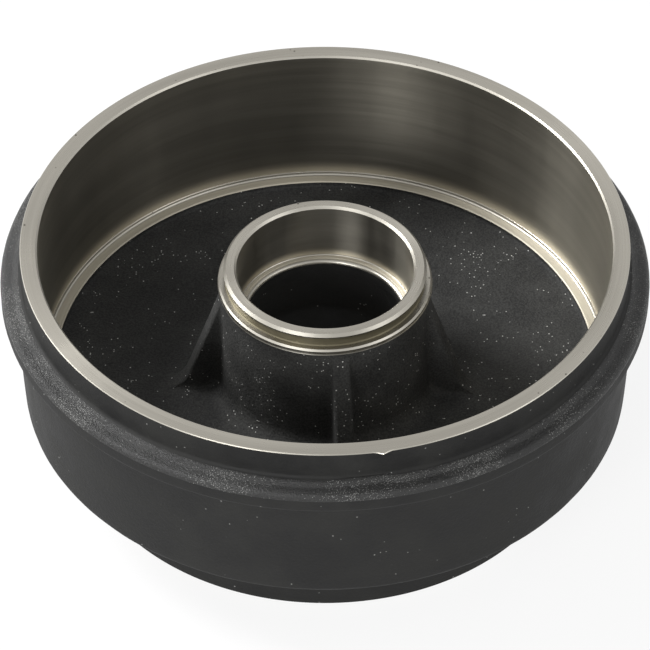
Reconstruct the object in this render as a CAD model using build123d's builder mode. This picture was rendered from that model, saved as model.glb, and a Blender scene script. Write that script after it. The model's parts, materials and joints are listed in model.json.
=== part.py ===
from build123d import *

import os

# Hub-type brake drum: one grey-iron casting, machined where brakes, bearings and wheel seat.
# The drum stands with its open mouth up. The origin is the centre of the wheel-mounting
# face, on the wheel axis, and +Z points from the wheel side towards the brake side.
# All sizes are in millimetres.

os.makedirs("parts", exist_ok=True)

# Brake track and mouth of the drum
brake_radius = 150.0  # the 300 mm class of drum
rim_height = 133.0  # mouth face above the wheel-mounting face
brake_depth = 85.0  # from the mouth face to the machined ring at the foot of the track
mouth_chamfer = 1.3
rim_wall = 9.0  # iron between the brake track and the plain neck
rim_edge_chamfer = 0.6
ring_width = 6.3  # machined ring between the brake track and the cast web
ring_step = 3.4  # how far the cast web lies below that ring
ring_step_chamfer = 2.2

# Outside of the drum: plain neck, stiffening band and body
neck_height = 15.0
neck_fillet = 4.0
band_stand = 11.2  # how far the band stands out from the neck
band_drop = 24.4  # from the mouth face down to the widest line of the band
band_land = 9.0  # height of the band's outer edge before it is rounded
band_nose = 2.4
band_underside = 4.5  # height over which the band falls back to the body
band_root_fillet = 4.0
body_wall = 13.4  # iron between the brake track and the body, just below the band
body_draft = 3.3
body_corner_rise = 3.2  # bottom corner of the body above the underside of the web
body_corner_fillet = 3.5

# Web between the drum and the hub
web_fall = 6.0  # the dished web is this much lower at the hub than at the ring
web_thickness = 12.0

# Wheel-mounting pad, pilot and wheel-bolt holes
pad_margin = 32.0  # from the bolt circle out to the edge of the pad
pad_edge_chamfer = 0.6
pad_root_chamfer = 3.5
pilot_margin = 22.1  # from the bolt circle in to the pilot
pilot_height = 5.0
pilot_chamfer = 1.5
pilot_wall = 14.4
bolt_circle_radius = 102.5
bolt_count = 6
bolt_first_angle = 8.0
bolt_hole_diameter = 16.5
bolt_hole_depth = 30.0
bolt_entry_chamfer = 1.2
pocket_shift = 3.0  # the cast pockets between the bolt bosses lie this far outside the bolt circle
pocket_width = 31.0
pocket_angle = 21.0
pocket_depth = 23.0
pocket_chamfer = 3.0

# Hub core and its machined end
hub_top_drop = 18.3  # hub end face below the mouth face
core_wall = 8.6  # iron round the inner bearing seat, at the top of the core
core_draft = 2.1  # how much wider the core is at its base
core_base_fillet = 9.0
collar_wall = 9.6
collar_drop = 8.0  # collar face below the hub end face
collar_height = 2.9
collar_chamfer = 0.9
hub_end_wall = 6.8
hub_end_chamfer = 1.4
relief_wall = 5.6
relief_start = 2.4  # the relief groove starts this far below the hub end face

# Bearing bores
inner_seat_radius = 46.6
inner_seat_chamfer = 1.2
inner_seat_depth = 34.0
inner_shoulder_height = 5.0
shoulder_land = 3.9
shoulder_lead = 2.1
cavity_undercut = 1.9  # how much wider the grease space is than the shoulder
cavity_fillet = 8.0
outer_seat_radius = 31.0
outer_seat_length = 18.0
outer_shoulder_height = 3.5
outer_shoulder_length = 5.0
cap_bore_step = 2.0  # the grease-cap bore is this much wider than the outer seat
cap_bore_depth = 12.0
boss_wall = 14.0  # iron round the outer bearing seat
boss_recess_level = 16.0
boss_recess_chamfer = 2.5
bore_entry_chamfer = 1.0

# Gusset ribs cast between the hub core and the web
rib_angles = (88.0, 187.0, 278.5, 349.0)
rib_thickness = 9.5
rib_crest_stand = 16.2  # from the core's base out to the lower end of the straight crest
rib_crest_rise = 11.5  # height of that point above the web at the hub
rib_reach = 30.7  # from the core's base out to the rib's toe
rib_head_cover = 0.8  # how far the ends of the crest line are buried in the casting
rib_edge_fillet = 1.6
rib_root_fillet = 2.4

match_tolerance = 0.01  # for faces that are picked by their place or direction

# Radii worked out from the sizes above
rim_radius = brake_radius + rim_wall
band_radius = rim_radius + band_stand
body_radius = brake_radius + body_wall
body_foot_radius = body_radius - body_draft
web_edge_radius = brake_radius - ring_width
pad_radius = bolt_circle_radius + pad_margin
pilot_radius = bolt_circle_radius - pilot_margin
pilot_bore_radius = pilot_radius - pilot_wall
pocket_radius = bolt_circle_radius + pocket_shift
core_top_radius = inner_seat_radius + core_wall
core_base_radius = core_top_radius + core_draft
collar_radius = inner_seat_radius + collar_wall
hub_end_radius = inner_seat_radius + hub_end_wall
relief_radius = inner_seat_radius + relief_wall
inner_shoulder_radius = inner_seat_radius - inner_shoulder_height
cavity_radius = inner_shoulder_radius + cavity_undercut
outer_shoulder_radius = outer_seat_radius - outer_shoulder_height
cap_bore_radius = outer_seat_radius + cap_bore_step
boss_radius = outer_seat_radius + boss_wall
rib_crest_radius = core_base_radius + rib_crest_stand
rib_reach_radius = core_base_radius + rib_reach

# Levels worked out from the sizes above
ring_level = rim_height - brake_depth
web_edge_level = ring_level - ring_step
web_hub_level = web_edge_level - web_fall
web_under_level = web_edge_level - web_thickness
neck_level = rim_height - neck_height
band_top_level = rim_height - band_drop + band_land / 2
band_base_level = band_top_level - band_land
body_foot_level = web_under_level + body_corner_rise
hub_top = rim_height - hub_top_drop
relief_top = hub_top - relief_start
collar_top = hub_top - collar_drop
collar_base = collar_top - collar_height
inner_seat_floor = hub_top - inner_seat_depth
lead_floor = inner_seat_floor - shoulder_lead
cavity_top = lead_floor - 2 * shoulder_land
hub_foot = -pilot_height
cap_floor = hub_foot + cap_bore_depth
outer_seat_top = cap_floor + outer_seat_length
outer_shoulder_top = outer_seat_top + outer_shoulder_length
cavity_base = web_hub_level + cavity_fillet


def corners(sketch: BuildSketch, *points: tuple[float, float]) -> list[Vertex]:
    """Return the sketch corners that lie nearest to the given (radius, height) points."""
    return [sketch.vertices().sort_by_distance(point)[0] for point in points]


def web_level(radius: float) -> float:
    """Return the height of the dished web's upper face at a radius."""
    share = (radius - core_base_radius) / (web_edge_radius - core_base_radius)
    return web_hub_level + share * web_fall


def faces_up_and_out(face: Face) -> bool:
    """Tell whether a face of the rib belongs to its crest."""
    return min(face.normal_at().X, face.normal_at().Z) > match_tolerance


def is_rib_side(face: Face) -> bool:
    """Tell whether a face of the drum is the flat side of a gusset rib."""
    if face.geom_type != GeomType.PLANE or abs(face.normal_at().Z) > match_tolerance:
        return False
    return abs(face.center().dot(face.normal_at()) - rib_thickness / 2) < match_tolerance


def is_crest_line(edge: Edge) -> bool:
    """Tell whether an edge of a rib side runs along the crest's rounding."""
    return edge.geom_type in (GeomType.LINE, GeomType.CIRCLE)


with BuildPart() as rib:
    # One gusset rib in the XZ plane: a straight sloping crest that sweeps out into the web
    crest_head = Vector(core_top_radius - rib_head_cover, collar_base - rib_head_cover)
    crest_foot = Vector(rib_crest_radius, web_hub_level + rib_crest_rise)
    rib_toe = Vector(rib_reach_radius, web_level(rib_reach_radius) - rib_head_cover)
    rib_back = (core_base_radius + cavity_radius) / 2
    with BuildSketch(Plane.XZ):
        with BuildLine():
            Line(crest_head, crest_foot)
            TangentArc(crest_foot, rib_toe, tangent=crest_foot - crest_head)
            Polyline(
                rib_toe,
                (rib_reach_radius, web_under_level),
                (rib_back, web_under_level),
                (rib_back, crest_head.Y),
                crest_head,
            )
        make_face()
    extrude(amount=rib_thickness / 2, both=True)
    crest_faces = rib.faces().filter_by(faces_up_and_out)
    fillet(crest_faces.edges().filter_by(Axis.Y, reverse=True), rib_edge_fillet)

with BuildPart() as brake_drum:
    # Half section of everything that is turned about the wheel axis
    with BuildSketch(Plane.XZ) as section:
        with BuildLine():
            Polyline(
                # mouth, brake track, machined ring and dished web
                (rim_radius, rim_height),
                (brake_radius, rim_height),
                (brake_radius, ring_level),
                (web_edge_radius, ring_level),
                (web_edge_radius, web_edge_level),
                (core_base_radius, web_hub_level),
                # hub core, collar, relief groove and hub end
                (core_top_radius, collar_base),
                (collar_radius, collar_base),
                (collar_radius, collar_top),
                (relief_radius, collar_top),
                (relief_radius, relief_top),
                (hub_end_radius, relief_top),
                (hub_end_radius, hub_top),
                # inner bearing seat, its shoulder and the grease space
                (inner_seat_radius, hub_top),
                (inner_seat_radius, inner_seat_floor),
                (inner_seat_radius - shoulder_land, inner_seat_floor),
                (inner_shoulder_radius, lead_floor),
                (inner_shoulder_radius, lead_floor - shoulder_land),
                (cavity_radius, cavity_top),
                (cavity_radius, cavity_base),
                # outer shoulder, outer bearing seat and cap bore
                (outer_shoulder_radius, outer_shoulder_top),
                (outer_shoulder_radius, outer_seat_top),
                (outer_seat_radius, outer_seat_top),
                (outer_seat_radius, cap_floor),
                (cap_bore_radius, cap_floor),
                (cap_bore_radius, hub_foot),
                # outer boss, cast recess, pilot and wheel-mounting pad
                (boss_radius, hub_foot),
                (boss_radius, boss_recess_level),
                (pilot_bore_radius, boss_recess_level),
                (pilot_bore_radius, hub_foot),
                (pilot_radius, hub_foot),
                (pilot_radius, 0),
                (pad_radius, 0),
                (pad_radius, web_under_level),
                # body, stiffening band and neck
                (body_foot_radius, body_foot_level),
                (body_radius, band_base_level - band_underside),
                (band_radius, band_base_level),
                (band_radius, band_top_level),
                (rim_radius, neck_level),
                close=True,
            )
        make_face()
        chamfer(corners(section, (brake_radius, rim_height)), mouth_chamfer)
        chamfer(corners(section, (rim_radius, rim_height)), rim_edge_chamfer)
        chamfer(corners(section, (collar_radius, collar_top)), collar_chamfer)
        chamfer(corners(section, (hub_end_radius, hub_top)), hub_end_chamfer)
        chamfer(corners(section, (inner_seat_radius, hub_top)), inner_seat_chamfer)
        chamfer(corners(section, (cap_bore_radius, hub_foot)), bore_entry_chamfer)
        chamfer(corners(section, (pilot_radius, hub_foot)), pilot_chamfer)
        chamfer(corners(section, (pad_radius, 0)), pad_edge_chamfer)
        chamfer(corners(section, (web_edge_radius, web_edge_level)), ring_step_chamfer)
        chamfer(corners(section, (pad_radius, web_under_level)), pad_root_chamfer)
        chamfer(
            corners(section, (boss_radius, boss_recess_level), (pilot_bore_radius, boss_recess_level)),
            boss_recess_chamfer,
        )
        fillet(corners(section, (core_base_radius, web_hub_level)), core_base_fillet)
        fillet(corners(section, (body_foot_radius, body_foot_level)), body_corner_fillet)
        fillet(corners(section, (body_radius, band_base_level - band_underside)), band_root_fillet)
        fillet(
            corners(section, (band_radius, band_base_level), (band_radius, band_top_level)),
            band_nose,
        )
        fillet(corners(section, (rim_radius, neck_level)), neck_fillet)
        fillet(
            corners(section, (cavity_radius, cavity_base), (outer_shoulder_radius, outer_shoulder_top)),
            outer_shoulder_length / 2,
        )
    revolve(axis=Axis.Z)

    # Gusset ribs, blended into the core and the web
    with Locations(*[Rotation(0, 0, angle) for angle in rib_angles]):
        add(rib.part)
    rib_sides = brake_drum.faces().filter_by(is_rib_side)
    root_edges = rib_sides.edges().filter_by(is_crest_line, reverse=True)
    fillet(root_edges, rib_root_fillet)

    # Tapping-size holes for the wheel bolts, blind from the wheel-mounting face
    wheel_side = Plane(origin=(0, 0, 0), x_dir=(1, 0, 0), z_dir=(0, 0, -1))
    with Locations(wheel_side):
        with PolarLocations(bolt_circle_radius, bolt_count, start_angle=-bolt_first_angle):
            CounterSinkHole(
                radius=bolt_hole_diameter / 2,
                counter_sink_radius=bolt_hole_diameter / 2 + bolt_entry_chamfer,
                depth=bolt_hole_depth,
                counter_sink_angle=90,
            )

    # Cast pockets between the bolt bosses keep the pad's section even
    with BuildSketch(Plane.XY):
        for index in range(bolt_count):
            middle = bolt_first_angle + (index + 0.5) * 360 / bolt_count
            centre_line = CenterArc((0, 0), pocket_radius, middle - pocket_angle / 2, pocket_angle)
            SlotArc(centre_line, pocket_width)
    extrude(amount=pocket_depth, mode=Mode.SUBTRACT)
    floor_edges = brake_drum.edges().filter_by_position(Axis.Z, pocket_depth, pocket_depth)
    chamfer(floor_edges, pocket_chamfer)

brake_drum.part.label = "brake_drum"
export_step(brake_drum.part, "parts/brake_drum.step")
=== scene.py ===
"""Studio scene of a hub-type brake drum: one grey-iron casting, part rough cast, part machined.

The casting is turned from its half section, its gusset ribs are raised out of the hub and the
web, and the holes and pockets of the wheel side are cut last. All places are in the frame of
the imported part: +Z runs from the wheel side to the open mouth, and the origin is the centre of
the wheel-mounting face. Sizes in the classes are millimetres, and the meshes are metres.
"""

import json
import logging
import math
from dataclasses import dataclass, field
from enum import IntEnum

import bmesh
import bpy
from mathutils import Matrix, Vector, noise


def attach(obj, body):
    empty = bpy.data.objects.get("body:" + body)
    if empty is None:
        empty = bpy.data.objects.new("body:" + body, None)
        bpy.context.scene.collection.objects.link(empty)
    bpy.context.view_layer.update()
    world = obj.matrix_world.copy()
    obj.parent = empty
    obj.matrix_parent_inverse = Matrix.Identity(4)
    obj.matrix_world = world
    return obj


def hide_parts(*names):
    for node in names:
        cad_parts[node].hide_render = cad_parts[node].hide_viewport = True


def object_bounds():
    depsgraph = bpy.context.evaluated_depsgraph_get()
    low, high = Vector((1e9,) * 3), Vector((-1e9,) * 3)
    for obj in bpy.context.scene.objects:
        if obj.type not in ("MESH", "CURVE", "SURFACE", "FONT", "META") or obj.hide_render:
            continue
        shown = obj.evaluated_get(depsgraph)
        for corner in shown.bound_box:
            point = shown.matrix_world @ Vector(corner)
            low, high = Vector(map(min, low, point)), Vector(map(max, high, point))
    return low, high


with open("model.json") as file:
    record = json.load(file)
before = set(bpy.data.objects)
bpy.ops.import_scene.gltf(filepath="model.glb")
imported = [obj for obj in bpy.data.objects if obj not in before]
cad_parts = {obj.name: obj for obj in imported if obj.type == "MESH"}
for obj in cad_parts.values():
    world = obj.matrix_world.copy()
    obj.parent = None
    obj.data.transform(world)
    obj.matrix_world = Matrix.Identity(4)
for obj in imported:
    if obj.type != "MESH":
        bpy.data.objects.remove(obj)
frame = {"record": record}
CAD_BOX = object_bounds()

LOG = logging.getLogger("brake_drum")
MM = 0.001
NODE = "brake_drum"

# Light grey of the painted glints: spots that stand in for sparkle highlights on the sand skin.
PAINTED_GLINT_GREY = (0.55, 0.55, 0.53)
# Warm bright iron painted at the foot of the track and seat bores: a painted glow that stands in
# for light reflected there.
PAINTED_GLOW_IRON = (0.54, 0.487, 0.38)
PORE = (0.07, 0.06, 0.05)
WHITE = (1.0, 1.0, 1.0, 1.0)
QUARTER_TURN = 0.25
WELD = 1e-6
NEAR = 0.01


class Finish(IntEnum):
    """Surface finishes of the casting; each value is the material slot of its faces."""

    OUTER_CAST = 0
    INNER_CAST = 1
    TRACK = 2
    TURNED = 3
    SEAT = 4
    RELIEF = 5
    BAND_CAST = 6
    FACED = 7
    EDGE = 8


def mount_size(name: str, key: str) -> float:
    """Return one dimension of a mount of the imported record, in millimetres."""
    mounts = {mount["name"]: mount for mount in frame["record"]["mounts"]}
    return float(mounts[name]["dims"][key])


# ---------------------------------------------------------------- half section


@dataclass(frozen=True)
class Corner:
    """A corner of the half section.

    Attributes:
        radius: Distance from the wheel axis.
        height: Height above the wheel-mounting face.
        finish: Finish of the stretch that runs on from this corner.
        cut: How far its chamfer or rounding reaches along each side, or 0.
        segments: Facets of the rounding; 1 makes a chamfer.
        edge: Finish of the chamfer or rounding, if it isn't that of the stretch before it.
        spacing: Longest step along the stretch that runs on from this corner.
    """

    radius: float
    height: float
    finish: Finish
    cut: float = 0.0
    segments: int = 1
    edge: Finish | None = None
    spacing: float = 1000.0


@dataclass(frozen=True)
class Station:
    """A point of the finished half section, and the finish of the step that follows it."""

    radius: float
    height: float
    finish: Finish


class HalfSection:
    """The outline that is turned about the wheel axis, with its corners bevelled and divided."""

    def __init__(self, corners: list[Corner]) -> None:
        """Bevel the corners and divide the long stretches.

        Args:
            corners: The sharp corners, in order round the section.
        """
        bm = bmesh.new()
        source = bm.verts.layers.int.new("corner")
        verts = [bm.verts.new((corner.radius, 0.0, corner.height)) for corner in corners]
        for index, vert in enumerate(verts):
            vert[source] = index
            bm.edges.new((verts[index - 1], vert))
        for corner, vert in zip(corners, verts):
            if corner.cut > 0.0:
                bmesh.ops.bevel(
                    bm,
                    geom=[vert],
                    offset=corner.cut,
                    offset_type="OFFSET",
                    segments=corner.segments,
                    profile=0.5,
                    affect="VERTICES",
                    clamp_overlap=True,
                    material=-1,
                )
        self.stations = self._divide(self._walk(bm, source), corners, source)
        bm.free()

    @staticmethod
    def _walk(bm: bmesh.types.BMesh, source: bmesh.types.BMLayerItem) -> list[bmesh.types.BMVert]:
        """Put the outline's vertices in order.

        Args:
            bm: The bevelled outline.
            source: The layer that holds the number of each vertex's corner.

        Returns:
            The vertices, from the first one of the first corner.
        """
        last = max(vert[source] for vert in bm.verts)
        start, before = next(
            (vert, edge.other_vert(vert))
            for vert in bm.verts
            if vert[source] == 0
            for edge in vert.link_edges
            if edge.other_vert(vert)[source] == last
        )
        path = [start]
        while len(path) < len(bm.verts):
            here = path[-1]
            following = [edge.other_vert(here) for edge in here.link_edges]
            path.append(next(vert for vert in following if vert is not before))
            before = here
        return path

    @staticmethod
    def _divide(
        path: list[bmesh.types.BMVert], corners: list[Corner], source: bmesh.types.BMLayerItem
    ) -> list[Station]:
        """Divide the long stretches of the outline and give each step its finish.

        Args:
            path: The outline's vertices, in order.
            corners: The sharp corners that they come from.
            source: The layer that holds the number of each vertex's corner.

        Returns:
            The stations, in the same order.
        """
        stations = []
        for vert, following in zip(path, path[1:] + path[:1]):
            corner = corners[vert[source]]
            before = corners[vert[source] - 1]
            cuts = 0
            finish = corner.edge if corner.edge is not None else before.finish
            if following[source] != vert[source]:
                finish = corner.finish
                cuts = int((following.co - vert.co).length // corner.spacing)
            for cut in range(cuts + 1):
                point = vert.co.lerp(following.co, cut / (cuts + 1))
                stations.append(Station(point.x, point.z, finish))
        return stations


@dataclass(frozen=True)
class DrumSizes:
    """Sizes of everything that is turned about the wheel axis."""

    mouth: float = CAD_BOX[1].z / MM
    foot: float = CAD_BOX[0].z / MM
    track_radius: float = mount_size("brake_track", "r_mm")
    track_depth: float = 85.0
    mouth_chamfer: float = 0.9
    rim_wall: float = 9.0
    foot_rounding: float = 1.5
    undercut: float = 0.4
    undercut_gap: float = 0.2
    undercut_height: float = 0.7
    ring_width: float = 6.3
    ring_step: float = 3.4
    neck_height: float = 15.7
    band_radius: float = CAD_BOX[1].y / MM - 0.1
    ridge_stand: float = 2.8
    ridge_drop: float = 16.5
    ledge_stand: float = 4.6
    ledge_drop: float = 18.5
    crown_drop: float = 19.1
    band_drop: float = 24.4
    band_land: float = 9.0
    band_underside: float = 4.5
    body_wall: float = 13.4
    body_draft: float = 3.3
    body_corner: float = 35.8
    web_fall: float = 6.0
    web_thickness: float = 12.0
    core_top: float = 55.2
    core_base: float = 57.3
    core_fillet: float = 9.0
    hub_drop: float = 18.3
    collar_radius: float = 56.2
    collar_drop: float = 8.0
    collar_height: float = 3.0
    collar_lip: float = 0.3
    hub_end: float = 53.4
    relief_radius: float = 52.2
    relief_start: float = 2.4
    seat_radius: float = mount_size("inner_bearing_seat", "r_mm")
    seat_depth: float = 34.0
    seat_foot_rounding: float = 0.8
    shoulder_radius: float = 41.6
    shoulder_height: float = 5.0
    lead: float = 1.8
    tool_step: float = 0.25
    cavity_radius: float = 43.5
    cavity_rise: float = 8.0
    outer_seat: float = mount_size("outer_bearing_seat", "r_mm")
    outer_seat_length: float = mount_size("outer_bearing_seat", "length_mm")
    outer_shoulder: float = 27.5
    outer_shoulder_length: float = 5.0
    cap_radius: float = mount_size("hub_cap_bore", "r_mm")
    cap_depth: float = 12.0
    boss_radius: float = 45.0
    recess_level: float = 16.0
    pilot_bore: float = 66.0
    pilot_radius: float = mount_size("wheel_pilot", "r_mm")
    pad_radius: float = 134.5

    @property
    def ring_level(self) -> float:
        """Level of the machined ring at the foot of the brake track."""
        return self.mouth - self.track_depth

    @property
    def web_edge(self) -> tuple[float, float]:
        """Outer edge of the cast web, as radius and level."""
        return self.track_radius - self.ring_width, self.ring_level - self.ring_step

    @property
    def web_hub_level(self) -> float:
        """Level at which the web would meet the hub core without its fillet."""
        return self.web_edge[1] - self.web_fall

    @property
    def hub_top(self) -> float:
        """Level of the hub's end face."""
        return self.mouth - self.hub_drop

    @property
    def collar_base(self) -> float:
        """Level of the underside of the collar."""
        return self.hub_top - self.collar_drop - self.collar_height

    def web_level(self, radius: float) -> float:
        """Find the level of the web's upper face.

        Args:
            radius: Distance from the wheel axis.

        Returns:
            The height above the wheel-mounting face.
        """
        edge_radius, edge_level = self.web_edge
        share = (edge_radius - radius) / (edge_radius - self.core_base)
        return edge_level - share * self.web_fall

    def core_radius(self, level: float) -> float:
        """Return the radius of the tapered hub core at a level."""
        share = (self.collar_base - level) / (self.collar_base - self.web_hub_level)
        return self.core_top + share * (self.core_base - self.core_top)

    def corners(self) -> list[Corner]:
        """Gather the corners of the half section.

        Returns:
            The corners, from the mouth inwards and round by the wheel side.
        """
        return [
            *self._inside(),
            *self._hub_end(),
            *self._bores(),
            *self._wheel_side(),
            *self._outside(),
        ]

    def _inside(self) -> list[Corner]:
        """Lay out the mouth, brake track, machined ring, web and hub core.

        Returns:
            Their corners, in order.
        """
        edge_radius, edge_level = self.web_edge
        rim = self.track_radius + self.rim_wall
        undercut_base = self.ring_level + self.foot_rounding + self.undercut_gap
        undercut_middle = undercut_base + self.undercut_height / 2
        undercut_top = undercut_base + self.undercut_height
        track, ring, hub = self.track_radius, self.ring_level, self.web_hub_level
        turned, faced, edge = Finish.TURNED, Finish.FACED, Finish.EDGE
        cast = Finish.INNER_CAST
        return [
            Corner(rim, self.mouth, turned, cut=0.4, edge=edge),
            Corner(track, self.mouth, Finish.TRACK, cut=self.mouth_chamfer, edge=edge),
            Corner(track, undercut_top, turned),
            Corner(track + self.undercut, undercut_middle, turned),
            Corner(track, undercut_base, turned),
            Corner(track, ring, faced, cut=self.foot_rounding, segments=4, edge=edge),
            Corner(edge_radius, ring, cast, cut=0.6),
            Corner(edge_radius, edge_level, cast, cut=1.6, segments=3, spacing=4.0),
            Corner(self.core_base, hub, cast, cut=self.core_fillet, segments=8, spacing=1.9),
        ]

    def _hub_end(self) -> list[Corner]:
        """Lay out the collar, relief groove and end face of the hub.

        Returns:
            Their corners, in order.
        """
        collar_top = self.collar_base + self.collar_height
        relief_top = self.hub_top - self.relief_start
        turned, relief, edge = Finish.TURNED, Finish.RELIEF, Finish.EDGE
        return [
            Corner(self.core_top, self.collar_base, Finish.INNER_CAST),
            Corner(self.collar_radius + self.collar_lip, self.collar_base, edge),
            Corner(self.collar_radius, self.collar_base + 2 * self.collar_lip, turned),
            Corner(self.collar_radius, collar_top, turned, cut=0.9, edge=edge),
            Corner(self.relief_radius, collar_top, relief, cut=0.5, edge=relief),
            Corner(self.relief_radius, relief_top, relief, cut=0.5),
            Corner(self.hub_end, relief_top, turned, cut=0.3),
            Corner(self.hub_end, self.hub_top, turned, cut=1.4, edge=edge),
            Corner(self.seat_radius, self.hub_top, Finish.SEAT, cut=1.2, edge=edge),
        ]

    def _bores(self) -> list[Corner]:
        """Lay out the inner bearing seat, grease space, outer bearing seat and cap bore.

        Returns:
            Their corners, in order.
        """
        seat_floor = self.hub_top - self.seat_depth
        floor_middle = (self.seat_radius + self.shoulder_radius) / 2
        lead_top = seat_floor - self.tool_step
        cavity_top = lead_top - 2 * self.shoulder_height
        cavity_base = self.web_hub_level + self.cavity_rise
        cap_floor = self.foot + self.cap_depth
        seat_top = cap_floor + self.outer_seat_length
        shoulder_top = seat_top + self.outer_shoulder_length
        turned, faced, edge = Finish.TURNED, Finish.FACED, Finish.EDGE
        cast = Finish.OUTER_CAST
        rounding = self.seat_foot_rounding
        return [
            Corner(self.seat_radius, seat_floor, faced, cut=rounding, segments=3, edge=edge),
            Corner(floor_middle + self.tool_step, seat_floor, faced),
            Corner(floor_middle, lead_top, faced),
            Corner(self.shoulder_radius, lead_top, cast, cut=self.lead, segments=4, edge=edge),
            Corner(self.shoulder_radius, lead_top - self.shoulder_height, cast),
            Corner(self.cavity_radius, cavity_top, cast, spacing=5.0),
            Corner(self.cavity_radius, cavity_base, cast, cut=2.5, segments=3, spacing=5.0),
            Corner(self.outer_shoulder, shoulder_top, turned, cut=2.5, segments=3),
            Corner(self.outer_shoulder, seat_top, turned),
            Corner(self.outer_seat, seat_top, Finish.SEAT),
            Corner(self.outer_seat, cap_floor, turned),
            Corner(self.cap_radius, cap_floor, Finish.SEAT),
        ]

    def _wheel_side(self) -> list[Corner]:
        """Lay out the outer boss, cast recess, pilot and wheel-mounting face.

        Returns:
            Their corners, in order.
        """
        turned, cast = Finish.TURNED, Finish.OUTER_CAST
        return [
            Corner(self.cap_radius, self.foot, turned, cut=1.0),
            Corner(self.boss_radius, self.foot, cast, cut=0.8),
            Corner(self.boss_radius, self.recess_level, cast, cut=2.5, segments=3),
            Corner(self.pilot_bore, self.recess_level, cast, cut=2.5, segments=3),
            Corner(self.pilot_bore, self.foot, turned, cut=0.8),
            Corner(self.pilot_radius, self.foot, turned, cut=1.5),
            Corner(self.pilot_radius, 0.0, turned),
            Corner(self.pad_radius, 0.0, cast, cut=0.6, spacing=5.0),
        ]

    def _outside(self) -> list[Corner]:
        """Lay out the underside of the web, body, stiffening band and neck.

        Returns:
            Their corners, in order.
        """
        rim = self.track_radius + self.rim_wall
        body = self.track_radius + self.body_wall
        crown = self.mouth - self.crown_drop
        band_base = self.mouth - self.band_drop - self.band_land / 2
        underside = self.web_edge[1] - self.web_thickness
        ledge = rim + self.ledge_stand, self.mouth - self.ledge_drop
        ridge = rim + self.ridge_stand, self.mouth - self.ridge_drop
        foot = body - self.body_draft, self.body_corner
        neck_level = self.mouth - self.neck_height
        band_root = band_base - self.band_underside
        cast, rough = Finish.OUTER_CAST, Finish.BAND_CAST
        return [
            Corner(self.pad_radius, underside, cast, cut=3.0, segments=3, spacing=5.0),
            Corner(*foot, cast, cut=3.2, segments=5, spacing=4.0),
            Corner(body, band_root, cast, cut=2.1, segments=4, spacing=2.0),
            Corner(self.band_radius, band_base, cast, cut=1.3, segments=4, spacing=2.0),
            Corner(self.band_radius, crown, rough, cut=2.9, segments=6, edge=rough),
            Corner(*ledge, rough, cut=0.8, segments=3),
            Corner(*ridge, rough, cut=0.9, segments=4),
            Corner(rim, neck_level, cast, cut=1.6, segments=4, edge=cast, spacing=3.0),
        ]


# ---------------------------------------------------------------- gusset ribs


@dataclass(frozen=True)
class RibSizes:
    """Sizes and places of the gusset ribs between the hub core and the web."""

    angles: tuple[float, ...] = (88.0, 187.0, 278.5, 349.0)
    thickness: float = 9.5
    crest_radius: float = 73.5
    crest_rise: float = 11.5
    reach: float = 88.0
    cover: float = 0.8
    edge_round: float = 1.6
    root_round: float = 3.4
    fan_top: float = 58.0
    fan_reach: float = 76.0


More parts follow.
